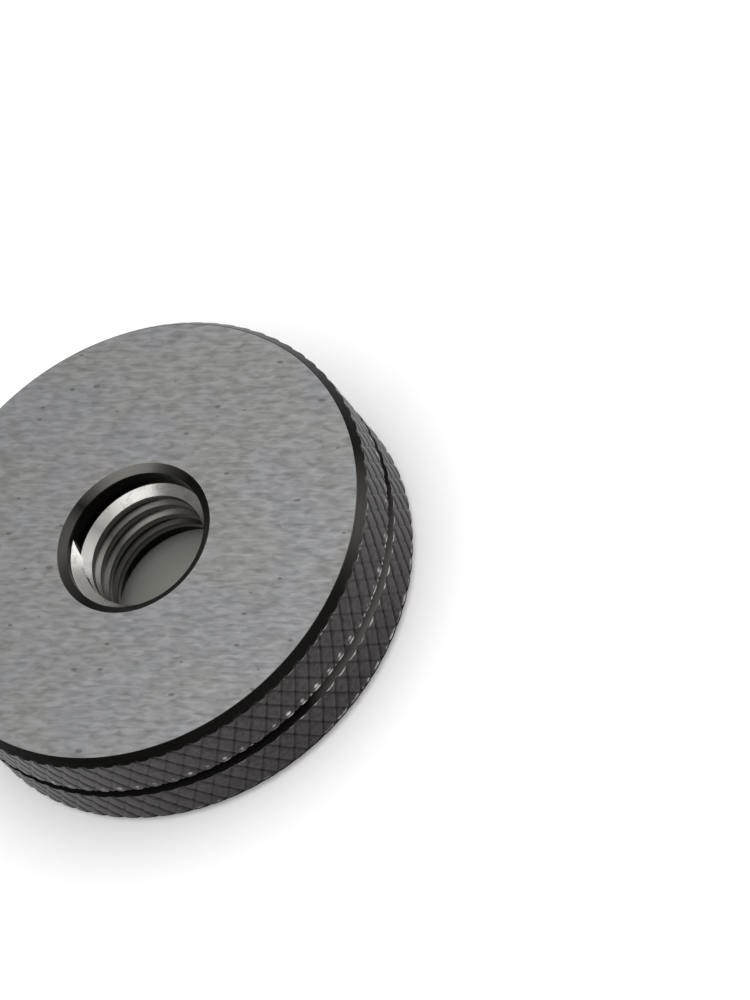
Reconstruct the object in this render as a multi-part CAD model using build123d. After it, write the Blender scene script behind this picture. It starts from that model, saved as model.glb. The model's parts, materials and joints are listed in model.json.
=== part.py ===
from build123d import *
from build123d.topology import SkipClean
from math import ceil, cos, floor, pi, radians, sin, tan
import os

# Solid NOT GO thread ring gauge, M11 x 1.5 left hand, turned from one piece of tool steel.
# The ring lies on one face. Its axis is +Z, and the origin is the centre of the lower face.

# Driving dimensions, in millimetres and degrees
outside_diameter = 38.0           # over the points of the knurl
thickness = 10.0
edge_chamfer_width = 0.55         # taken off each face, along the radius
edge_chamfer_height = 0.72        # taken off the rim, along the axis
groove_width = 1.05               # the groove that marks a NOT GO ring
groove_depth = 0.9
groove_centre_height = 4.85       # above the lower face
knurl_module = 0.4                # a standard diamond knurl, pitch = pi x module
knurl_angle = 30.0                # of its grooves, from the axis of the ring
knurl_depth = 0.3
knurl_row_height = 5.8            # of one row of points above the lower face
thread_diameter = 11.0            # nominal size of the thread
thread_pitch = 1.5
thread_is_left_hand = True
thread_upper_margin = 1.65        # from the upper face to the middle of the first crest
thread_lower_margin = 1.6         # from the lower face to the middle of the last crest
thread_start_angle = 140.0        # where the thread begins at the upper face
root_clearance = 0.12             # of the thread's root, and of the plain bore at its ends, beyond that size
countersink_diameter = 12.7       # at both faces
countersink_angle = 120.0         # included
crest_share = 0.385               # of a pitch, the flat of the truncated NOT GO crest
truncation_share = 0.1            # of a pitch, from the pitch line in to that crest

# Sizes that follow
outside_radius = outside_diameter / 2
face_radius = outside_radius - edge_chamfer_width
knurl_root_radius = outside_radius - knurl_depth
knurl_count = round(outside_diameter * cos(radians(knurl_angle)) / knurl_module)
knurl_step = 2 * pi / knurl_count
knurl_row = outside_radius * knurl_step / 2 / tan(radians(knurl_angle))
pitch_radius = (thread_diameter - 0.6495 * thread_pitch) / 2
crest_radius = pitch_radius - truncation_share * thread_pitch
root_radius = thread_diameter / 2 + root_clearance
countersink_radius = countersink_diameter / 2
countersink_depth = (countersink_radius - root_radius) / tan(radians(countersink_angle / 2))
thread_height = thickness - thread_upper_margin - thread_lower_margin
overlap = 0.1                     # of a tool past the surface that it cuts
seat = 0.03                       # of a tooth into the bore that carries it


def turned_section():
    """Half section of the ring before its knurl, chamfers and thread, open past the knurl's points."""
    stock_radius = outside_radius + overlap
    groove_floor = outside_radius - groove_depth
    groove_low = groove_centre_height - groove_width / 2
    groove_high = groove_centre_height + groove_width / 2
    corners = [
        (countersink_radius, 0),
        (stock_radius, 0),
        (stock_radius, groove_low),
        (groove_floor, groove_low),
        (groove_floor, groove_high),
        (stock_radius, groove_high),
        (stock_radius, thickness),
        (countersink_radius, thickness),
        (root_radius, thickness - countersink_depth),
        (root_radius, countersink_depth),
    ]
    return Plane.XZ * make_face(Polyline(*corners, close=True))


def tooth_half_width(radius):
    """Half the width of the thread's tooth at a radius: its 60 degree flanks open outwards."""
    return crest_share * thread_pitch / 2 + (radius - crest_radius) * tan(radians(30))


def thread_teeth():
    """The helical tooth of the thread, bored to its crest and divided into quarter turns."""
    inner, outer = crest_radius - overlap, root_radius + seat
    section = Plane.XZ * make_face(Polyline(
        (inner, -tooth_half_width(inner)), (outer, -tooth_half_width(outer)),
        (outer, tooth_half_width(outer)), (inner, tooth_half_width(inner)), close=True))
    path = Helix(thread_pitch, thread_height, pitch_radius, lefthand=thread_is_left_hand)
    bored = sweep(section, path, is_frenet=True) - Cylinder(crest_radius, 3 * thickness)
    turn = thread_height / thread_pitch * 360 * (-1 if thread_is_left_hand else 1)
    tooth = Pos(0, 0, thread_lower_margin) * Rot(0, 0, thread_start_angle - turn) * bored
    pieces = tooth.solids()
    for plane in (Plane.XZ, Plane.YZ):
        pieces = [half for piece in pieces for half in split(piece, plane, keep=Keep.BOTH).solids()]
    return pieces


def knurl_point(radius, angle, height):
    return Vector(radius * cos(angle), radius * sin(angle), height)


def facet(*corners):
    return Face(Wire.make_polygon(corners, close=True))


def knurled_bar():
    """A bar longer than the ring, covered with rows of four-sided diamond points."""
    first_row = floor(-knurl_row_height / knurl_row)
    last_row = ceil((thickness - knurl_row_height) / knurl_row)
    facets = []
    for row in range(first_row, last_row + 1):
        height = knurl_row_height + row * knurl_row
        for place in range(knurl_count):
            angle = (place + row % 2 / 2) * knurl_step
            tip = knurl_point(outside_radius, angle, height)
            right = knurl_point(knurl_root_radius, angle + knurl_step / 2, height)
            above = knurl_point(knurl_root_radius, angle, height + knurl_row)
            left = knurl_point(knurl_root_radius, angle - knurl_step / 2, height)
            below = knurl_point(knurl_root_radius, angle, height - knurl_row)
            facets += [facet(tip, right, above), facet(tip, above, left)]
            facets += [facet(tip, left, below), facet(tip, below, right)]
            if row == first_row:
                centre = Vector(0, 0, below.Z)
                facets += [facet(centre, left, below), facet(centre, below, right)]
            if row == last_row:
                centre = Vector(0, 0, above.Z)
                facets += [facet(centre, right, above), facet(centre, above, left)]
    return Solid(Shell(facets))


def chamfered_bar():
    """A bar with both edge chamfers, each in flats that meet at the knurl's points and grooves."""
    chamfer_slope = edge_chamfer_height / edge_chamfer_width
    stock_radius = outside_radius + overlap
    stock_chamfer = (stock_radius - face_radius) * chamfer_slope
    end_radius = face_radius - overlap / chamfer_slope
    flats = 2 * knurl_count
    rings = [[knurl_point(radius, place * knurl_step / 2, height) for place in range(flats)] for radius, height in (
        (end_radius, -overlap),
        (stock_radius, stock_chamfer),
        (stock_radius, thickness - stock_chamfer),
        (end_radius, thickness + overlap),
    )]
    facets = [facet(*rings[0]), facet(*rings[-1])]
    for lower, upper in zip(rings, rings[1:]):
        for place in range(flats):
            after = (place + 1) % flats
            facets.append(facet(lower[place], lower[after], upper[after], upper[place]))
    return Solid(Shell(facets))


def gauge_ring():
    """The turned ring with its thread, then its rim cut to the diamonds of the knurl."""
    turned = revolve(turned_section(), Axis.Z)
    with SkipClean():             # keeps the crest in quarter turns
        threaded = turned + thread_teeth()
        return threaded & (knurled_bar() & chamfered_bar())


os.makedirs("parts", exist_ok=True)
export_step(gauge_ring(), "parts/gauge_ring.step")
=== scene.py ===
import bpy
import json
import numpy as np
from math import cos, pi, radians, sin, tan
from mathutils import Matrix, Vector


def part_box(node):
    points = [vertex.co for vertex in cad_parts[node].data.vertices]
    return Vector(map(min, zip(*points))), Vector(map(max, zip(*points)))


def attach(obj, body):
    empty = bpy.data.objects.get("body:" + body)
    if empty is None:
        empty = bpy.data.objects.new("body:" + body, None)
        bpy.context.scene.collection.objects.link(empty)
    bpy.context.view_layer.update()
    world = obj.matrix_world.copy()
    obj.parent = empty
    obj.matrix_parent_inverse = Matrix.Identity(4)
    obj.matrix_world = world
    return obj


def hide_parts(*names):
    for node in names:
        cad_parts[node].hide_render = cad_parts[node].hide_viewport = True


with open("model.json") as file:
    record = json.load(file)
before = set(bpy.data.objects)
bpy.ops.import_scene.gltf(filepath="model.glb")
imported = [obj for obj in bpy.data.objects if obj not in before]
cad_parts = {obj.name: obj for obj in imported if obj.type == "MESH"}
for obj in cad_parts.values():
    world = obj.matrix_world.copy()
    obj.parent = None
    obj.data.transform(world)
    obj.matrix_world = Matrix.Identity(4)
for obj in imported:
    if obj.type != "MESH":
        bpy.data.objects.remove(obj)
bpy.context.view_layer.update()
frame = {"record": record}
print("frame loaded")

mm = 0.001                                   # every size below is in millimetres
nearEnough = 0.01                            # within which a point counts as lying on an edge
ringLow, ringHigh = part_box("gauge_ring")
outsideRadius = (ringHigh[0] - ringLow[0]) / 2 / mm
thickness = (ringHigh[2] - ringLow[2]) / mm
boreMount = next(mount for mount in frame["record"]["mounts"] if mount["name"] == "threaded_bore")
crestRadius = boreMount["dims"]["r_mm"]      # the truncated crest of the NOT GO thread

# Turned outline of the rim: what a user would change about its chamfers and groove
rim = {
    "chamferWidth": 0.55,                    # taken off each face
    "chamferHeight": 0.72,                   # taken off the rim
    "chamferRows": 6,
    "edgeBreak": 0.035,                      # the sharp edges are just broken with a stone
    "faceMargin": 0.05,                      # narrow ring of the face, so that the rest is shaded flat
    "sharpAngle": 14,                        # degrees between facets, past which an edge is drawn sharp
    "grooveCentre": 4.85,                    # above the lower face
    "grooveWidth": 1.05,
    "grooveDepth": 0.9,
    "grooveFloorRound": 0.08,                # left by the nose of the grooving tool
    "wearAndHighlightReach": 0.14,                       # of bare metal and painted highlight from a turned edge
    "lowerReflectionSpread": 2.5,                  # times further from the lowest edge: painted reflection of the floor on the lands
}

# How black the film is round each turned surface, 1 black and 0 worn to grey, at angles from +X. Several
# tables also carry painted light: painted reflections, highlights and shade, as noted at each.
filmAndPaintedLight = {
    # Countersinks: black oxide, with paler and blacker arcs by angle painted in as painted reflection
    "countersink": {
        "angle": (10, 32, 47, 62, 77, 92, 107, 122, 150, 166, 182, 197, 215, 230, 318, 336, 345),
        "share": (0.98, 0.62, 0.15, 0.2, 0.35, 0.74, 0.98, 0.77, 0.67,
                  0.67, 0.76, 0.93, 0.93, 0.85, 0.85, 0.97, 0.98)},
    # Upper chamfer: paler at 305 to 338 degrees as painted reflection
    "upperChamfer": {
        "angle": (5, 240, 300, 305, 314, 330, 338, 344),
        "share": (1, 0.97, 0.93, 0.86, 0.6, 0.68, 0.95, 1)},
    "enteringFlank": {                       # turns from the thread's start: painted shade, darker deeper in the bore, the first left bright
        "turn": (0, 0.08, 0.16, 0.66, 0.71, 0.76, 0.82, 0.88, 0.92, 0.96, 1.04, 1.12, 1.2,
                 1.6, 1.74, 1.81, 1.91, 1.98, 2.1, 2.6, 2.74, 2.81, 2.91, 2.98, 3.7, 3.9, 4.5),
        "share": (0, 0.02, 0.14, 0.3, 0.3, 0, 0.08, 0.38, 0.5, 0.34, 0.2, 0.3, 0.5,
                  0.62, 0.66, 0.7, 0.88, 0.55, 0.55, 0.62, 0.65, 0.52, 0.9, 0.79, 0.86, 0.95, 0.9)},
    # Crest and lower flanks: half dark, partly painted shade
    "crest": 0.54,
    "highlightSide": {"turn": 0.05, "spread": 0.06, "share": 0.4},   # painted highlight on one side of the bore
    "rootFade": {"depth": 0.12, "width": 0.1},                    # from the thread to the black root, painted shade in the roots
    # Bare metal beside the turned edges, brightest at 285 to 320 degrees: wear, with painted highlights there
    "edgeWearAndHighlight": {
        "angle": (0, 200, 270, 285, 300, 320, 332, 345),
        "share": (0.35, 0.3, 0.4, 0.9, 1, 1, 0.5, 0.4)},
    "knurl": {                               # 0 is rubbed bright in spots
        "angle": (5, 25, 185, 330, 342, 352),
        "share": (0.6, 1, 1, 1, 0.68, 0.6)},
    # Turned groove: paler at 284 to 330 degrees as painted light inside the groove
    "groove": {
        "angle": (0, 260, 278, 284, 300, 318, 330, 340),
        "share": (0.95, 0.95, 0.95, 0.55, 0.25, 0.3, 0.7, 0.95)},
}

# Diamond knurl: two crossing rows of V grooves rolled into the rim
knurl = {
    "count": 82,                             # points around the ring
    "angle": 30,                             # of the grooves from the axis, degrees
    "depth": 0.075,
    "crossing": 0.04,                        # more where two grooves meet
    "grooveShare": 0.34,                     # of the pitch, the rest is land
    "crown": 0.02,                           # by which a land falls off from its middle to its sides
    "rowHeight": 5.8,                        # of one row of points above the lower face
    "start": 0.28,                           # of the first point from +X, in steps
    "stepsPerPitch": 10,                     # columns of the mesh
    "grooveTone": 0.8,                       # how dark a groove is painted against a crossing: painted shade
    "landFade": 1.25,                        # how soon bare metal stops beside a groove
    "highlightBead": {"share": 0.68, "height": 0.26, "sharpness": 1.8},    # painted highlight, drawn as a bare spot on each point of one row
}

# Left-hand thread, M11 x 1.5, with a narrow truncated crest
thread = {
    "pitch": 1.5,
    "turns": 4.5,
    "crestShare": 0.385,                     # of the pitch
    "boreRadius": 5.72,                      # of the plain bore at its ends
    "firstCrestDepth": 1.65,                 # below the upper face
    "startAngle": 140,                       # degrees
    "taperAngle": 16,                        # over which the first thread rises to its full height
    "taperLean": 9,                          # degrees that the ground end leans along the flank
    "edgeRound": 0.05,
    "flankAngle": 30,                        # of each flank from the plane across the axis
    "columns": 205,
    "spareTurns": 3,                         # of the helix past either face, laid on the countersinks
    "countersinkRadius": 6.35,
    "countersinkAngle": 120,
}


def ringPoint(radius, angle, height):
    # x = radius cos(angle), y = radius sin(angle), z = height
    radius, angle, height = np.broadcast_arrays(radius, angle, height)
    return np.stack([radius * np.cos(angle), radius * np.sin(angle), height], axis=-1)


def knurlCut(columnPlace, rowPlace):
    # Depth below the rim. Along each of the two families of V grooves the place runs 0 to 1 from land to
    # land, the groove's middle is at one half, and its depth falls off in a straight line to the land.
    # The land falls off with the square of the distance from its own middle.
    deepest, crowned, crossing = 0, 0, 1
    for place in (columnPlace, columnPlace - rowPlace):
        fromGroove = np.abs(place - np.floor(place) - 0.5)
        share = np.clip(1 - fromGroove / (knurl["grooveShare"] / 2), 0, 1)
        deepest, crossing = np.maximum(deepest, share), crossing * share
        crowned = crowned + ((0.5 - fromGroove) / 0.5) ** 2
    cut = knurl["depth"] * deepest + knurl["crossing"] * crossing + knurl["crown"] * np.minimum(crowned, 1)
    # The second value darkens the grooves in the knurl's material: painted shade
    return cut, knurl["grooveTone"] * deepest + crossing


knurlStep = 2 * pi / knurl["count"]
knurlRow = outsideRadius * knurlStep / 2 / tan(radians(knurl["angle"]))   # between rows of points
rimColumns = knurl["count"] * knurl["stepsPerPitch"]
grooveHigh = rim["grooveCentre"] + rim["grooveWidth"] / 2
grooveLow = rim["grooveCentre"] - rim["grooveWidth"] / 2


def filmAndPaintedLightAt(surface, angle):
    # Straight lines between the named angles, round the whole circle
    return np.interp(np.degrees(angle), filmAndPaintedLight[surface]["angle"], filmAndPaintedLight[surface]["share"], period=360)


def chamferOutline(top):
    # Straight cone from the face's edge to the rim, with its first corner broken
    faceRadius = outsideRadius - rim["chamferWidth"]
    slope = rim["chamferHeight"] / rim["chamferWidth"]
    broken = rim["edgeBreak"]
    along = np.linspace(0, 1, rim["chamferRows"]) ** 0.7
    radius = np.append([faceRadius - broken, faceRadius - broken * 0.3],
                       faceRadius + broken * 0.5 + (rim["chamferWidth"] - broken * 0.5) * along)
    depth = np.append([0, broken * 0.25], (radius[2:] - faceRadius) * slope)
    height = thickness - depth if top else depth
    return radius, height


def rimOutline():
    # Rows of (greatest radius, height) from the upper face round the rim to the lower face. Between
    # the turned edges they step by a share of the knurl's row, so that its grooves follow the mesh.
    upperRadius, upperHeight = chamferOutline(True)
    lowerRadius, lowerHeight = chamferOutline(False)
    floorRadius = outsideRadius - rim["grooveDepth"]
    curl = rim["grooveFloorRound"]
    step = knurlRow / knurl["stepsPerPitch"]
    lattice = knurl["rowHeight"] + step * np.arange(-200, 200)
    upperBand = lattice[(lattice < upperHeight[-1] - step / 3) & (lattice > grooveHigh + step / 3)][::-1]
    lowerBand = lattice[(lattice < grooveLow - step / 3) & (lattice > lowerHeight[-1] + step / 3)][::-1]
    radius = np.concatenate([
        upperRadius, upperBand * 0 + outsideRadius,
        [outsideRadius, floorRadius + curl, floorRadius, floorRadius, floorRadius + curl, outsideRadius],
        lowerBand * 0 + outsideRadius, lowerRadius[::-1]])
    height = np.concatenate([
        upperHeight, upperBand,
        [grooveHigh, grooveHigh, grooveHigh - curl, grooveLow + curl, grooveLow, grooveLow],
        lowerBand, lowerHeight[::-1]])
    return radius, height


def rimSurface():
    # The smaller of the turned outline and the knurled rim, on columns that lean with one row of grooves:
    #     # angle = step x (column place - half the row place). Of the four values for each point, the first
    #     is
    #     # wear and painted highlight, exp(-(distance from the nearest turned edge / reach) squared) on the
    #     lands,
    #     # with a row of painted highlight beads and a painted reflection of the floor above the lowest edge.
    #     The
    #     # second is the knurl groove's share of its depth, used as painted shade, the third the black film
    #     with
    #     # painted reflection and painted light by angle, and the fourth painted light in the turned groove.
    turnedRadius, height = rimOutline()
    columnPlace = np.arange(rimColumns)[None, :] / knurl["stepsPerPitch"]
    rowPlace = (height[:, None] - knurl["rowHeight"]) / knurlRow
    angle = knurlStep * (columnPlace - rowPlace / 2 + knurl["start"])
    cut, groove = knurlCut(columnPlace, rowPlace)
    knurled = np.broadcast_to(outsideRadius - cut, angle.shape)
    radius = np.minimum(turnedRadius[:, None], knurled)
    turnedEdges = np.array([thickness - rim["chamferHeight"], grooveHigh, grooveLow, rim["chamferHeight"]])
    height = height[:, None]
    # Wider above the lowest edge for a painted reflection of the floor; the angle table adds painted
    # highlights
    fromEdge = np.abs(height - turnedEdges) / np.array([1, 1, 1, rim["lowerReflectionSpread"]])
    edgeWearAndHighlight = filmAndPaintedLightAt("edgeWearAndHighlight", angle) * np.exp(-(fromEdge.min(axis=1)[:, None] / rim["wearAndHighlightReach"]) ** 2)
    onBand = turnedRadius[:, None] >= outsideRadius - knurl["crown"]
    onLand = onBand * np.clip(1 - knurl["landFade"] * groove, 0, 1)
    middle = 1 - 2 * np.maximum(np.abs(columnPlace - np.round(columnPlace)),
                                np.abs(columnPlace - rowPlace - np.round(columnPlace - rowPlace)))
    # Painted highlight: a bright spot on each point of the row above the groove
    highlightBead = knurl["highlightBead"]
    pointed = np.clip(middle * highlightBead["sharpness"] - (highlightBead["sharpness"] - 1), 0, 1)
    highlightBeads = highlightBead["share"] * np.exp(-((height - knurl["rowHeight"]) / highlightBead["height"]) ** 2) * pointed
    wornAndHighlight = onLand * np.maximum(edgeWearAndHighlight, highlightBeads)
    fromGroove = np.abs(height - rim["grooveCentre"]) - rim["grooveWidth"] / 2
    onUpperChamfer = height > thickness - rim["chamferHeight"]
    # Upper chamfer and turned groove take painted reflection and painted light by angle
    black = np.where(onUpperChamfer, filmAndPaintedLightAt("upperChamfer", angle), filmAndPaintedLightAt("knurl", angle))
    black = np.where(fromGroove < 0, filmAndPaintedLightAt("groove", angle), black)
    black = np.where(height < rim["chamferHeight"], 1, black)
    # Painted light: pale matt grey in the groove where light reaches into it
    paintedGrooveLight = (fromGroove < nearEnough) * (1 - filmAndPaintedLightAt("groove", angle))
    finish = np.stack([wornAndHighlight, groove + 0 * wornAndHighlight, black, paintedGrooveLight], axis=-1)
    return ringPoint(radius, angle, height), angle, finish


def gridTriangles(rows, columns):
    # Two triangles for each cell, split along the diagonal that the second row of grooves follows
    row, column = np.meshgrid(np.arange(rows - 1), np.arange(columns), indexing="ij")
    nextColumn = (column + 1) % columns
    a, b = row * columns + column, row * columns + nextColumn
    c, d = (row + 1) * columns + nextColumn, (row + 1) * columns + column
    split = [(b, a, d), (b, d, c)]
    return np.concatenate([np.stack(corner, axis=-1).reshape(-1, 3) for corner in split])


def boreSurface():
    # One pitch of the thread carried along a left-hand helix: height = first crest - pitch x turns + along,
    # along = distance up from the middle of the crest. The bore's radius is flat across the crest and opens
    # on the flanks: crest radius + (|along| - half the crest) / tan(flank angle). At the thread's two ends
    # the crest sinks into the plain bore, sooner on one flank than on the other, and the profile's points
    # follow the crest's edges. What passes a countersink is laid on its edge.
    pitch, columns, plainRadius = thread["pitch"], thread["columns"], thread["boreRadius"]
    crestHalf = thread["crestShare"] * pitch / 2
    opening = tan(radians(thread["flankAngle"]))
    foot = pitch / 2 - nearEnough
    soft = thread["edgeRound"]
    startHeight = thickness - thread["firstCrestDepth"]
    startColumn = round(thread["startAngle"] / 360 * columns)
    spare = thread["spareTurns"]
    steps = np.arange(-spare * columns, int((thickness / pitch + spare) * columns))
    turns = steps[:, None] / columns
    lean, taper = thread["taperLean"] / 360, thread["taperAngle"] / 360
    sunk, edge = [], []
    for side in (1, -1):
        rising = (turns + side * lean) / taper
        falling = (thread["turns"] + side * lean - turns) / taper
        crest = plainRadius - np.clip(np.minimum(rising, falling), 0, 1) * (plainRadius - crestRadius)
        sunk.append(crest)
        edge.append(np.minimum(crestHalf + (crest - crestRadius) * opening, foot - soft))
    onFlank = np.array([1, 0.8, 0.5, 0.25, 0])
    upper = edge[0] + (foot - edge[0]) * onFlank
    lower = edge[1] + (foot - edge[1]) * onFlank
    acrossCrest = np.array([0.08, 0.5, 0.92])
    flat = edge[0] - (edge[0] + edge[1]) * acrossCrest
    along = np.concatenate([turns * 0 + pitch / 2, upper, flat, -lower[:, ::-1]], axis=1)
    aboveCrest, belowCrest = np.zeros((1, len(onFlank) + 1)), np.zeros((1, len(onFlank)))
    crest = np.concatenate([sunk[0] + aboveCrest, sunk[0] + (sunk[1] - sunk[0]) * acrossCrest,
                            sunk[1] + belowCrest], axis=1)
    flank = crestRadius + (np.abs(along) - crestHalf) / opening
    radius = np.clip(flank, crest, plainRadius)
    countersink = countersinkDepth()
    height = startHeight - pitch * turns + along
    outside = (height > thickness - countersink) | (height < countersink)
    height = np.clip(height, countersink, thickness - countersink)
    radius = np.where(outside, plainRadius, radius)
    angle = 2 * pi * ((steps + startColumn) % columns) / columns
    points = ringPoint(radius, angle[:, None], height)

    # Film: 1 on the plain bore, about one half on the thread, less where the part enters and at its start.
    # The
    #     # share per turn is painted shade, darker deeper in the bore, with a painted highlight on one side
    #     and
    #     # painted shade in the roots.
    entering = (along > edge[0] - soft) & (crest < plainRadius - 2 * nearEnough)
    wearAndPaintedLight = np.interp(turns, filmAndPaintedLight["enteringFlank"]["turn"], filmAndPaintedLight["enteringFlank"]["share"])
    fromStart = (turns - np.round(turns) - filmAndPaintedLight["highlightSide"]["turn"]) / filmAndPaintedLight["highlightSide"]["spread"]
    dulledAndShaded = filmAndPaintedLight["crest"] - filmAndPaintedLight["highlightSide"]["share"] * np.exp(-fromStart ** 2)
    plain = np.clip((radius - plainRadius + filmAndPaintedLight["rootFade"]["depth"]) / filmAndPaintedLight["rootFade"]["width"], 0, 1)
    black = np.where(entering, wearAndPaintedLight, np.maximum(dulledAndShaded, plain))

    profile = along.shape[1]
    step, place = np.meshgrid(np.arange(len(steps) - columns - 1), np.arange(profile), indexing="ij")
    last = place + 1 == profile
    wrapped = np.where(last, (step + columns) * profile, step * profile + place + 1)
    wrappedNext = np.where(last, (step + 1 + columns) * profile, (step + 1) * profile + place + 1)
    a, b = step * profile + place, (step + 1) * profile + place
    triangles = np.concatenate([np.stack(corner, axis=-1).reshape(-1, 3)
                                for corner in [(a, b, wrappedNext), (a, wrappedNext, wrapped)]])
    return points.reshape(-1, 3), triangles, black.reshape(-1)


def countersinkDepth():
    # (outer radius - bore radius) / tan(half the angle)
    widening = thread["countersinkRadius"] - thread["boreRadius"]
    return widening / tan(radians(thread["countersinkAngle"] / 2))


def faceRing(outer, outerAngle, height):
    # Flat ring whose outer circle has four points to each point of its inner one. Each inner step takes
    # four outer steps as a fan: two triangles from each inner point and one between them.
    inner = thread["columns"]
    ratio = rimColumns // inner
    innerAngle = 2 * pi * np.arange(inner) / inner
    shift = int(round((innerAngle[0] - outerAngle[0]) / (2 * pi / rimColumns)))
    innerRadius = outer - rim["faceMargin"]
    points = np.concatenate([ringPoint(outer, outerAngle, height),
                             ringPoint(innerRadius, innerAngle, height)])
    k = np.arange(inner)
    fine = [(k * ratio + shift + n) % rimColumns for n in range(ratio + 1)]
    coarse, coarseNext = rimColumns + k, rimColumns + (k + 1) % inner
    fan = [(fine[0], fine[1], coarse), (fine[1], fine[2], coarse), (fine[2], coarseNext, coarse),
           (fine[2], fine[3], coarseNext), (fine[3], fine[4], coarseNext)]
    return points, np.concatenate([np.stack(corner, axis=-1) for corner in fan]), innerRadius


def faceAndCountersink(innerRadius, top):
    # From the fan's inner circle over the flat face and its broken edge into the countersink
    broken = rim["edgeBreak"]
    mouth = thread["countersinkRadius"]
    radius = np.array([innerRadius, mouth + broken, mouth - broken, thread["boreRadius"]])
    drop = np.array([0, 0, broken * 0.6, countersinkDepth()])
    height = thickness - drop if top else drop
    angle = 2 * pi * np.arange(thread["columns"]) / thread["columns"]
    points = ringPoint(radius[:, None], angle[None, :], height[:, None])
    return points.reshape(-1, 3), gridTriangles(len(radius), thread["columns"])


def welded(parts):
    # All the surfaces in one list of points: places equal to a millionth become one point, and triangles
    # that have shrunk to a line are dropped
    same = 1e-6
    firsts = np.cumsum([0] + [len(points) for points, _, _ in parts])
    points = np.concatenate([part[0] for part in parts])
    triangles = np.concatenate([part[1] + first for part, first in zip(parts, firsts)])
    finish = np.concatenate([np.zeros(len(part[1]), dtype=int) + part[2] for part in parts])
    rounded = np.round(points / same).astype(np.int64)
    _, kept, place = np.unique(rounded, axis=0, return_index=True, return_inverse=True)
    triangles = place.reshape(-1)[triangles]
    a, b, c = triangles.T
    real = (a != b) & (b != c) & (c != a)
    return points[kept], triangles[real], finish[real], kept


def edgesNotShared(triangles):
    # In a closed surface every edge belongs to exactly two triangles
    edges = np.concatenate([triangles[:, [0, 1]], triangles[:, [1, 2]], triangles[:, [2, 0]]])
    edges = np.sort(edges, axis=1)
    _, uses = np.unique(edges, axis=0, return_counts=True)
    return int((uses != 2).sum())


def filmAndPaintedLightInCountersinks(points, black):
    # What lies deeper than the faces and within the countersink's mouth takes the countersink's film and its
    # painted reflections
    fromMiddle = np.abs(points[:, 2] - thickness / 2)
    radius = np.hypot(points[:, 0], points[:, 1])
    inside = fromMiddle > thickness / 2 - countersinkDepth() - nearEnough / 10
    inside = inside & (radius < thread["countersinkRadius"] + 10 * nearEnough)
    black[inside] = filmAndPaintedLightAt("countersink", np.arctan2(points[inside, 1], points[inside, 0]))


def buildRing():
    # Rim, faces, countersinks and bore welded into one closed mesh. Finishes: 0 ground, 1 knurled,
    # 2 turned and 3 thread. The four values of each point become attributes of the mesh.
    rimPoints, rimAngle, rimWear = rimSurface()
    rows, columns = rimPoints.shape[:2]
    turnedRadius, height = rimOutline()
    knurledRow = (turnedRadius[:-1] == turnedRadius[1:]) & (turnedRadius[1:] == outsideRadius)
    rimFinish = np.tile(np.repeat(np.where(knurledRow, 1, 2), columns), 2)
    parts = [(rimPoints.reshape(-1, 3), gridTriangles(rows, columns), rimFinish)]
    for top, row in ((True, 0), (False, rows - 1)):
        points, triangles, innerRadius = faceRing(turnedRadius[row], rimAngle[row], height[row])
        parts.append((points, triangles if top else triangles[:, ::-1], 0))
        points, triangles = faceAndCountersink(innerRadius, top)
        faceFinish = np.tile(np.repeat(np.array([0, 2, 2]), thread["columns"]), 2)
        parts.append((points, triangles[:, ::-1] if top else triangles, faceFinish))
    borePoints, boreTriangles, boreFilm = boreSurface()
    parts.append((borePoints, boreTriangles, 3))
    points, triangles, finish, kept = welded(parts)
    wear = np.zeros((sum(len(part[0]) for part in parts), 4))
    wear[:rows * columns] = rimWear.reshape(-1, 4)
    wear[-len(borePoints):, 2] = boreFilm
    wear = wear[kept]
    filmAndPaintedLightInCountersinks(points, wear[:, 2])
    print("ring:", len(triangles), "triangles, edges not shared by two:", edgesNotShared(triangles))
    mesh = bpy.data.meshes.new("gaugeRing")
    mesh.from_pydata((points * mm).tolist(), [], triangles.tolist())
    mesh.polygons.foreach_set("use_smooth", np.ones(len(triangles), dtype=bool))
    mesh.polygons.foreach_set("material_index", finish.astype(np.int32))
    for column, name in enumerate(("bareEdgeAndHighlight", "grooveShare", "filmAndPaintedLightShare", "paintedGrooveLightShare")):
        attribute = mesh.attributes.new(name, "FLOAT", "POINT")
        attribute.data.foreach_set("value", wear[:, column].astype(np.float32))
    mesh.set_sharp_from_angle(angle=radians(rim["sharpAngle"]))
    mesh.update()
    ringObject = bpy.data.objects.new("gaugeRing", mesh)
    bpy.context.scene.collection.objects.link(ringObject)
    return ringObject


def linearColour(hexValue):
    # sRGB hex to linear light: c / 12.92 for dark values, ((c + 0.055) / 1.055) ^ 2.4 for the rest
    channels = [int(hexValue[place:place + 2], 16) / 255 for place in (1, 3, 5)]
    return [c / 12.92 if c <= 0.04045 else ((c + 0.055) / 1.055) ** 2.4 for c in channels] + [1]


def addNode(material, kind, settings={}, values={}, links={}):
    # A link's source is a socket, or a node for its first output
    node = material.node_tree.nodes.new("ShaderNode" + kind)
    for name, value in settings.items():
        setattr(node, name, value)
    for socket, value in values.items():
        node.inputs[socket].default_value = value
    for socket, source in links.items():
        output = source.outputs[0] if isinstance(source, bpy.types.Node) else source
        material.node_tree.links.new(output, node.inputs[socket])
    return node


def newMaterial(name):
    material = bpy.data.materials.new(name)
    material.use_nodes = True
    material.node_tree.nodes.clear()
    return material


def finishMaterial(material, shader):
    addNode(material, "OutputMaterial", links={"Surface": shader})
    return material


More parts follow.
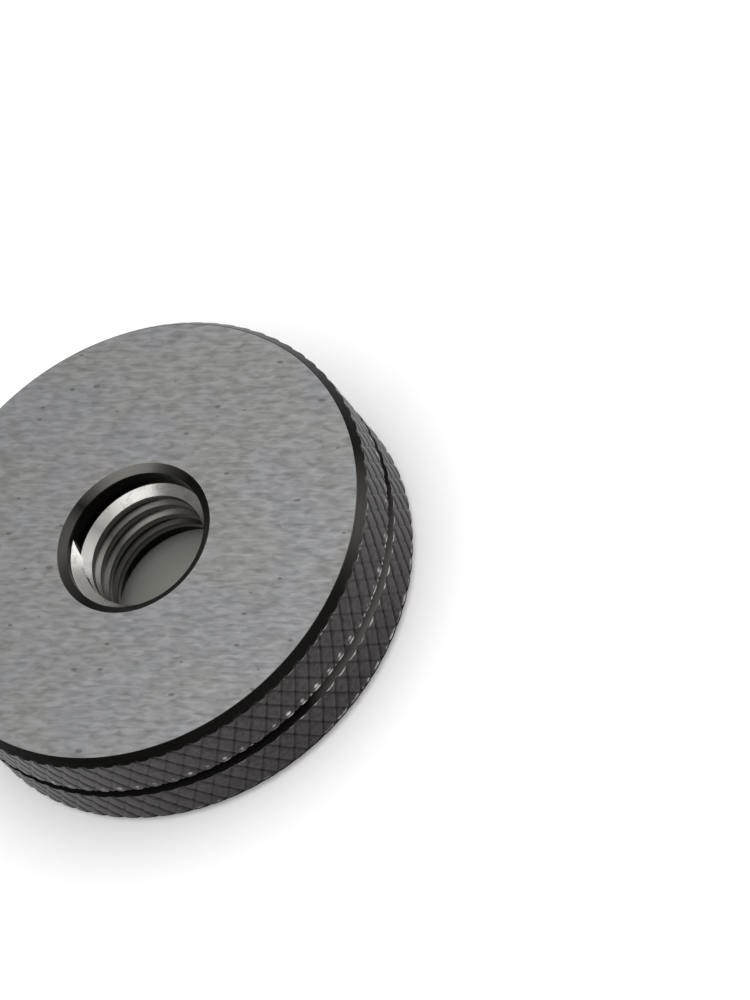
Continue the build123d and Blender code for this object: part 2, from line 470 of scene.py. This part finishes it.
# Ground faces: short streaks left by the grinding wheel, all one way, over faint patches of tone
groundFace = {
    "grindAngle": 134.4,                     # of the streaks from +X, degrees
    "streak": (1.15, 0.42),                  # length and width; real grit lines are a tenth as wide
    "fineStreak": (2.6, 0.2),
    "fineShare": 0.35,
    "toneRange": (0.35, 0.95),               # of the streaks, from dull to bright
    "dull": "#6e6f6a",
    "bright": "#a6a6a8",
    "patch": 6.0,
    "patchRange": (0.4, 0.6),
    "patchShare": 0.3,
    "cool": "#8e8f95",
    "warm": "#8d8e88",
    "pitSpacing": (2.2, 1.1),                # along and across the streaks
    "pitsFrom": 0.84,                        # one cell in six has a pit
    "pitSize": (0.0001, 0.2),                # of the spacing
    "pitShare": 0.75,
    "pitColour": "#5c5b58",
    "roughness": (0.34, 0.46),
    "bump": 0.0035,
}


def groundSteel():
    # Surface-ground hardened tool steel: satin grey, with short bright and dull streaks that all run one way,
    # slightly greener and bluer patches, and a few small dark pits.
    material = newMaterial("surface-ground tool steel")
    place = addNode(material, "TexCoord").outputs["Object"]
    turn = (0, 0, radians(groundFace["grindAngle"]))
    streaks = []
    for length, width in (groundFace["streak"], groundFace["fineStreak"]):
        along = addNode(material, "Mapping", {"vector_type": "TEXTURE"}, {
            "Rotation": turn, "Scale": (length * mm, width * mm, width * mm)}, {"Vector": place})
        streaks.append(addNode(material, "TexNoise", {}, {
            "Scale": 1, "Detail": 1.5, "Roughness": 0.4, "Distortion": 0.5}, {"Vector": along}))
    both = addNode(material, "Math", {"operation": "MULTIPLY_ADD"}, {1: groundFace["fineShare"]}, {
        0: streaks[1], 2: streaks[0]})
    tone = addNode(material, "MapRange", {}, {
        "From Min": groundFace["toneRange"][0], "From Max": groundFace["toneRange"][1]}, {"Value": both})
    patches = addNode(material, "TexNoise", {}, {
        "Scale": 1 / (groundFace["patch"] * mm), "Detail": 3}, {"Vector": place})
    hueShare = addNode(material, "MapRange", {}, {
        "From Min": groundFace["patchRange"][0], "From Max": groundFace["patchRange"][1]}, {"Value": patches})
    hue = addNode(material, "MixRGB", {}, {
        "Color1": linearColour(groundFace["warm"]),
        "Color2": linearColour(groundFace["cool"])}, {"Fac": hueShare})
    grey = addNode(material, "MixRGB", {}, {
        "Color1": linearColour(groundFace["dull"]),
        "Color2": linearColour(groundFace["bright"])}, {"Fac": tone})
    steel = addNode(material, "MixRGB", {}, {"Fac": groundFace["patchShare"]}, {
        "Color1": grey, "Color2": hue})
    pitLength, pitWidth = groundFace["pitSpacing"]
    spread = addNode(material, "Mapping", {"vector_type": "TEXTURE"}, {
        "Rotation": turn, "Scale": (pitLength * mm, pitWidth * mm, mm)}, {"Vector": place})
    cells = addNode(material, "TexVoronoi", {"voronoi_dimensions": "2D"}, {"Scale": 1}, {"Vector": spread})
    chosen = addNode(material, "SeparateColor", links={"Color": cells.outputs["Color"]})
    size = addNode(material, "MapRange", {}, {
        "From Min": groundFace["pitsFrom"], "From Max": 1,
        "To Min": groundFace["pitSize"][0], "To Max": groundFace["pitSize"][1]}, {"Value": chosen})
    ratio = addNode(material, "Math", {"operation": "DIVIDE"}, {}, {0: cells.outputs["Distance"], 1: size})
    pit = addNode(material, "MapRange", {}, {
        "From Min": 0.4, "From Max": 1, "To Min": groundFace["pitShare"], "To Max": 0}, {"Value": ratio})
    pitted = addNode(material, "MixRGB", {}, {"Color2": linearColour(groundFace["pitColour"])}, {
        "Fac": pit, "Color1": steel})
    rough = addNode(material, "MapRange", {}, {
        "To Min": groundFace["roughness"][1], "To Max": groundFace["roughness"][0]}, {"Value": tone})
    bump = addNode(material, "Bump", {}, {"Distance": groundFace["bump"] * mm}, {"Height": both})
    shader = addNode(material, "BsdfPrincipled", {}, {"Metallic": 1.0}, {
        "Base Color": pitted, "Roughness": rough, "Normal": bump})
    return finishMaterial(material, shader)


# Knurled rim, blackened: brown-grey lands, grooves darkened as painted shade, bare metal where the lands meet
# # a turned edge, partly wear and partly painted highlight
blackKnurl = {
    "land": "#343132",
    "landPale": "#4b4849",
    # painted shade in the knurl's grooves
    "groove": "#1d1b1b",
    "bare": "#bfbdb8",
    "grain": 0.45,
    "grainRange": (0.35, 0.65),
    "grooveRange": (0.1, 1.2),
    "spot": 0.9,                             # size of the rubbed spots
    "spotGain": 2.0,                         # how sharply the spots stand out, and how few they are
    "spotFrom": 0.7,
    "blotchRange": (0.05, 0.6),
    "bareAndHighlightRange": (0.08, 0.3),
    "roughness": (0.3, 0.5),
    "bump": 0.012,
}


def blackenedKnurl():
    # Black oxide on rolled steel: a thin brown-grey film with a satin gloss, darker in the grooves as painted
    # shade,
    #     # and bright steel on the points beside the turned edges, partly rubbed through and partly painted
    #     highlight.
    material = newMaterial("black-oxide knurled steel")
    place = addNode(material, "TexCoord").outputs["Object"]
    grain = addNode(material, "TexNoise", {}, {
        "Scale": 1 / (blackKnurl["grain"] * mm), "Detail": 4, "Roughness": 0.65}, {"Vector": place})
    share = addNode(material, "MapRange", {}, {
        "From Min": blackKnurl["grainRange"][0], "From Max": blackKnurl["grainRange"][1]}, {"Value": grain})
    land = addNode(material, "MixRGB", {}, {
        "Color1": linearColour(blackKnurl["land"]),
        "Color2": linearColour(blackKnurl["landPale"])}, {"Fac": share})
    # Painted shade: the grooves darken by their share of the depth
    deep = addNode(material, "Attribute", {"attribute_name": "grooveShare"}).outputs["Fac"]
    deepShare = addNode(material, "MapRange", {}, {
        "From Min": blackKnurl["grooveRange"][0], "From Max": blackKnurl["grooveRange"][1]}, {"Value": deep})
    filmAndGrooveShade = addNode(material, "MixRGB", {}, {"Color2": linearColour(blackKnurl["groove"])}, {
        "Fac": deepShare, "Color1": land})
    # Bare steel over the film: wear and painted highlights at the edges and beads, and rubbed spots
    wornAndHighlight = addNode(material, "Attribute", {"attribute_name": "bareEdgeAndHighlight"}).outputs["Fac"]
    kept = addNode(material, "Attribute", {"attribute_name": "filmAndPaintedLightShare"}).outputs["Fac"]
    spots = addNode(material, "TexNoise", {}, {
        "Scale": 1 / (blackKnurl["spot"] * mm), "Detail": 3, "Roughness": 0.6}, {"Vector": place})
    wearAndPaintedLight = addNode(material, "Math", {"operation": "MULTIPLY_ADD"}, {
        1: blackKnurl["spotGain"], 2: -blackKnurl["spotFrom"]}, {0: spots})
    atEdge = addNode(material, "Math", {"operation": "MULTIPLY", "use_clamp": True}, {}, {0: wornAndHighlight, 1: wearAndPaintedLight})
    blotch = addNode(material, "Math", {"operation": "SUBTRACT"}, {}, {0: spots, 1: kept})
    onFlat = addNode(material, "MapRange", {}, {
        "From Min": blackKnurl["blotchRange"][0],
        "From Max": blackKnurl["blotchRange"][1]}, {"Value": blotch})
    bare = addNode(material, "Math", {"operation": "MAXIMUM"}, {}, {0: atEdge, 1: onFlat})
    bareAndHighlightShare = addNode(material, "MapRange", {}, {
        "From Min": blackKnurl["bareAndHighlightRange"][0], "From Max": blackKnurl["bareAndHighlightRange"][1]}, {"Value": bare})
    steel = addNode(material, "MixRGB", {}, {"Color2": linearColour(blackKnurl["bare"])}, {
        "Fac": bareAndHighlightShare, "Color1": filmAndGrooveShade})
    rough = addNode(material, "MapRange", {}, {
        "To Min": blackKnurl["roughness"][0], "To Max": blackKnurl["roughness"][1]}, {"Value": grain})
    bump = addNode(material, "Bump", {}, {"Distance": blackKnurl["bump"] * mm}, {"Height": grain})
    shader = addNode(material, "BsdfPrincipled", {}, {"Metallic": 1.0}, {
        "Base Color": steel, "Roughness": rough, "Normal": bump})
    return finishMaterial(material, shader)


def turnedLines(material, lineWidth, drift):
    # Fine lines round the axis: noise at (radius, height) / line width and x / drift, so that they change
    # slowly on their way round
    place = addNode(material, "TexCoord").outputs["Object"]
    flat = addNode(material, "VectorMath", {"operation": "MULTIPLY"}, {1: (1, 1, 0)}, {0: place})
    radius = addNode(material, "VectorMath", {"operation": "LENGTH"}, {}, {0: flat}).outputs["Value"]
    split = addNode(material, "SeparateXYZ", {}, {}, {0: place})
    across = addNode(material, "Math", {"operation": "DIVIDE"}, {1: lineWidth * mm}, {0: radius})
    down = addNode(material, "Math", {"operation": "DIVIDE"}, {1: lineWidth * mm}, {0: split.outputs["Z"]})
    slowly = addNode(material, "Math", {"operation": "DIVIDE"}, {1: drift * mm}, {0: split.outputs["X"]})
    turned = addNode(material, "CombineXYZ", {}, {}, {0: across, 1: down, 2: slowly})
    return addNode(material, "TexNoise", {}, {"Scale": 1, "Detail": 2}, {"Vector": turned})


# Chamfers, countersinks and the turned groove, blackened
blackTurning = {
    "black": "#121211",
    "grey": "#6b6965",
    "paintedGrooveLight": "#787572",                       # pale matt grey in part of the groove: painted light
    "paintedGrooveLightRoughness": 0.8,
    "line": 0.06,                            # feed of the turning tool
    "drift": 3.0,
    "uneven": 0.14,                          # by which the film differs from line to line
    "roughness": (0.24, 0.4),
    "bump": 0.003,
}


def blackenedTurning():
    # Black oxide on turned steel, in the chamfers, the groove and the countersinks: nearly black and glossier
    #     # than the knurl, with the turning tool's fine lines round the axis. Paler arcs by angle are painted
    #     # reflection, and pale matt grey in part of the groove is painted light.
    material = newMaterial("black-oxide turned steel")
    lines = turnedLines(material, blackTurning["line"], blackTurning["drift"])
    # The film share brings painted reflection and painted light by angle
    kept = addNode(material, "Attribute", {"attribute_name": "filmAndPaintedLightShare"}).outputs["Fac"]
    uneven = addNode(material, "Math", {"operation": "MULTIPLY_ADD"}, {
        1: blackTurning["uneven"], 2: -blackTurning["uneven"] / 2}, {0: lines})
    share = addNode(material, "Math", {"operation": "ADD", "use_clamp": True}, {}, {0: kept, 1: uneven})
    colour = addNode(material, "MixRGB", {}, {
        "Color1": linearColour(blackTurning["grey"]),
        "Color2": linearColour(blackTurning["black"])}, {"Fac": share})
    rough = addNode(material, "MapRange", {}, {
        "To Min": blackTurning["roughness"][0], "To Max": blackTurning["roughness"][1]}, {"Value": lines})
    bump = addNode(material, "Bump", {}, {"Distance": blackTurning["bump"] * mm}, {"Height": lines})
    turned = addNode(material, "BsdfPrincipled", {}, {"Metallic": 1.0}, {
        "Base Color": colour, "Roughness": rough, "Normal": bump})
    paintedGrooveLight = addNode(material, "BsdfPrincipled", {}, {
        "Base Color": linearColour(blackTurning["paintedGrooveLight"]), "Roughness": blackTurning["paintedGrooveLightRoughness"]})
    paintedGrooveLightMask = addNode(material, "Attribute", {"attribute_name": "paintedGrooveLightShare"}).outputs["Fac"]
    shader = addNode(material, "MixShader", {}, {}, {0: paintedGrooveLightMask, 1: turned, 2: paintedGrooveLight})
    return finishMaterial(material, shader)


# The thread: bright steel under a film that thickens from none over one half to black, the film's share
# carrying painted shade deeper in the bore and in the roots and a painted highlight on one side
threadSteel = {
    "bright": "#c3c2bd",
    "stained": "#8f8d88",
    "darkened": "#72706d",
    "black": "#131312",
    "stain": 0.8,                            # size of the stains
    "stainRange": (0.5, 0.72),
    "line": 0.05,
    "drift": 1.6,
    "roughness": (0.16, 0.34),
    "bump": 0.002,
}


def lappedThread():
    # Ground and lapped tool steel: bright flanks with faint lines along the thread and a few duller stains
    material = newMaterial("lapped thread steel")
    lines = turnedLines(material, threadSteel["line"], threadSteel["drift"])
    place = addNode(material, "TexCoord").outputs["Object"]
    stains = addNode(material, "TexNoise", {}, {
        "Scale": 1 / (threadSteel["stain"] * mm), "Detail": 4, "Roughness": 0.6}, {"Vector": place})
    share = addNode(material, "MapRange", {}, {
        "From Min": threadSteel["stainRange"][0],
        "From Max": threadSteel["stainRange"][1]}, {"Value": stains})
    bare = addNode(material, "MixRGB", {}, {
        "Color1": linearColour(threadSteel["bright"]),
        "Color2": linearColour(threadSteel["stained"])}, {"Fac": share})
    # The film share brings painted shade deeper in the bore and in the roots, and a painted highlight
    kept = addNode(material, "Attribute", {"attribute_name": "filmAndPaintedLightShare"}).outputs["Fac"]
    thin = addNode(material, "MapRange", {}, {"From Min": 0, "From Max": 0.5}, {"Value": kept})
    thick = addNode(material, "MapRange", {}, {"From Min": 0.5, "From Max": 1}, {"Value": kept})
    darkened = addNode(material, "MixRGB", {}, {"Color2": linearColour(threadSteel["darkened"])}, {
        "Fac": thin, "Color1": bare})
    colour = addNode(material, "MixRGB", {}, {"Color2": linearColour(threadSteel["black"])}, {
        "Fac": thick, "Color1": darkened})
    rough = addNode(material, "MapRange", {}, {
        "To Min": threadSteel["roughness"][0], "To Max": threadSteel["roughness"][1]}, {"Value": lines})
    bump = addNode(material, "Bump", {}, {"Distance": threadSteel["bump"] * mm}, {"Height": lines})
    shader = addNode(material, "BsdfPrincipled", {}, {"Metallic": 1.0}, {
        "Base Color": colour, "Roughness": rough, "Normal": bump})
    return finishMaterial(material, shader)


gaugeRing = buildRing()
for finish in (groundSteel(), blackenedKnurl(), blackenedTurning(), lappedThread()):
    gaugeRing.data.materials.append(finish)
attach(gaugeRing, "root")
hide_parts("gauge_ring")
print("ring built")

# Camera: from above the rim, rolled so that the ring's axis leans to the upper left
camera = {
    "azimuth": -88.12,                       # degrees, 0 is +X
    "elevation": 52.12,
    "roll": -40.73,
    "distance": 444.9,
    "aim": (16.06, -11.86, 10.0),            # point in the middle of the picture
    "focalLength": 216,
}


def buildCamera():
    # Place = aim + distance x the direction back to the camera, turned about that direction by the roll
    azimuth, elevation = radians(camera["azimuth"]), radians(camera["elevation"])
    back = Vector((cos(azimuth) * cos(elevation), sin(azimuth) * cos(elevation), sin(elevation)))
    right = Vector((0, 0, 1)).cross(back).normalized()
    up = back.cross(right)
    turn = Matrix((right, up, back)).transposed().to_4x4()
    roll = Matrix.Rotation(radians(camera["roll"]), 4, "Z")
    place = Vector(camera["aim"]) * mm + back * camera["distance"] * mm
    data = bpy.data.cameras.new("camera")
    data.lens = camera["focalLength"]
    data.sensor_width = 36
    cameraObject = bpy.data.objects.new("camera", data)
    cameraObject.matrix_world = Matrix.Translation(place) @ turn @ roll
    bpy.context.scene.collection.objects.link(cameraObject)
    bpy.context.scene.camera = cameraObject


buildCamera()
print("camera placed")

# Studio: pale floor, soft boxes and an even surround
studio = {
    "floorSize": 4000,
    "floorColour": "#f8f8f8",
    "paintedShadowColour": "#a5a69e",               # painted shadow on the paper under the ring, seen only through the bore
    "floorGlow": 0.12,                       # seen by the camera and in reflections, for a white floor; left off the painted shadow
    "paintedShadowReach": (0.6, 0.9),               # from the painted shadow to the open floor, in ring radii
    "surround": "#ffffff",
    "surroundStrength": 0.46,
}

# A lamp's place is its direction from the ring (azimuth and elevation in degrees) and its distance
lamps = {
    "overhead": {"azimuth": -50, "elevation": 80, "distance": 520, "size": 860, "power": 3.1},
    "side": {"azimuth": -12, "elevation": 11, "distance": 500, "size": 150, "power": 0.07},
}


def seenDirectly(material):
    # 1 for rays from the camera, from a reflection or through glass, 0 for those that light the object
    paths = addNode(material, "LightPath")
    first = addNode(material, "Math", {"operation": "MAXIMUM"}, links={
        0: paths.outputs["Is Camera Ray"], 1: paths.outputs["Is Glossy Ray"]})
    return addNode(material, "Math", {"operation": "MAXIMUM"}, links={
        0: first, 1: paths.outputs["Is Transmission Ray"]})


def whitePaper():
    # Matt white paper: its open part glows a little for the camera and for reflections, and the part under
    #     # the ring is painted grey as painted shadow, without glow. Open share = (distance from the axis -
    #     first
    #     # reach) / (second - first).
    material = newMaterial("white paper sweep")
    place = addNode(material, "TexCoord").outputs["Object"]
    fromRing = addNode(material, "VectorMath", {"operation": "LENGTH"}, {}, {0: place}).outputs["Value"]
    nearReach, farReach = (share * outsideRadius * mm for share in studio["paintedShadowReach"])
    # Open share 0 under the ring: painted shadow colour and no glow
    openShare = addNode(material, "MapRange", {}, {"From Min": nearReach, "From Max": farReach}, {
        "Value": fromRing})
    level = addNode(material, "Math", {"operation": "MULTIPLY"}, {1: studio["floorGlow"]}, {0: openShare})
    strength = addNode(material, "Math", {"operation": "MULTIPLY"}, {}, {0: seenDirectly(material), 1: level})
    colour = addNode(material, "MixRGB", {}, {
        "Color1": linearColour(studio["paintedShadowColour"]),
        "Color2": linearColour(studio["floorColour"])}, {"Fac": openShare})
    paper = addNode(material, "BsdfPrincipled", {}, {"Roughness": 0.9, "Specular IOR Level": 0.1}, {
        "Base Color": colour})
    glow = addNode(material, "Emission", links={"Strength": strength})
    both = addNode(material, "AddShader", links={0: paper, 1: glow})
    return finishMaterial(material, both)


def buildFloor():
    # One square, half its size to each side of the axis, at the height of the ring's lower face
    half = studio["floorSize"] / 2 * mm
    corners = [(-half, -half, 0), (half, -half, 0), (half, half, 0), (-half, half, 0)]
    mesh = bpy.data.meshes.new("floor")
    mesh.from_pydata(corners, [], [(0, 1, 2, 3)])
    mesh.materials.append(whitePaper())
    floor = bpy.data.objects.new("floor", mesh)
    bpy.context.scene.collection.objects.link(floor)


def buildWorld():
    # The same plain light from all sides
    world = bpy.data.worlds.new("studio surround")
    bpy.context.scene.world = world
    world.use_nodes = True
    world.node_tree.nodes.clear()
    light = addNode(world, "Background", values={
        "Color": linearColour(studio["surround"]), "Strength": studio["surroundStrength"]})
    addNode(world, "OutputWorld", links={"Surface": light})


def buildLamps():
    # Place = distance x (cos azimuth cos elevation, sin azimuth cos elevation, sin elevation)
    for name, lamp in lamps.items():
        azimuth, elevation = radians(lamp["azimuth"]), radians(lamp["elevation"])
        data = bpy.data.lights.new(name, "AREA")
        data.size = lamp["size"] * mm
        data.energy = lamp["power"]
        lampObject = bpy.data.objects.new(name, data)
        lampObject.location = lamp["distance"] * mm * Vector((
            cos(azimuth) * cos(elevation), sin(azimuth) * cos(elevation), sin(elevation)))
        lampObject.rotation_euler = lampObject.location.to_track_quat("Z", "Y").to_euler()
        bpy.context.scene.collection.objects.link(lampObject)


buildFloor()
buildWorld()
buildLamps()
bpy.context.scene.view_settings.view_transform = "Standard"
print("studio lit")
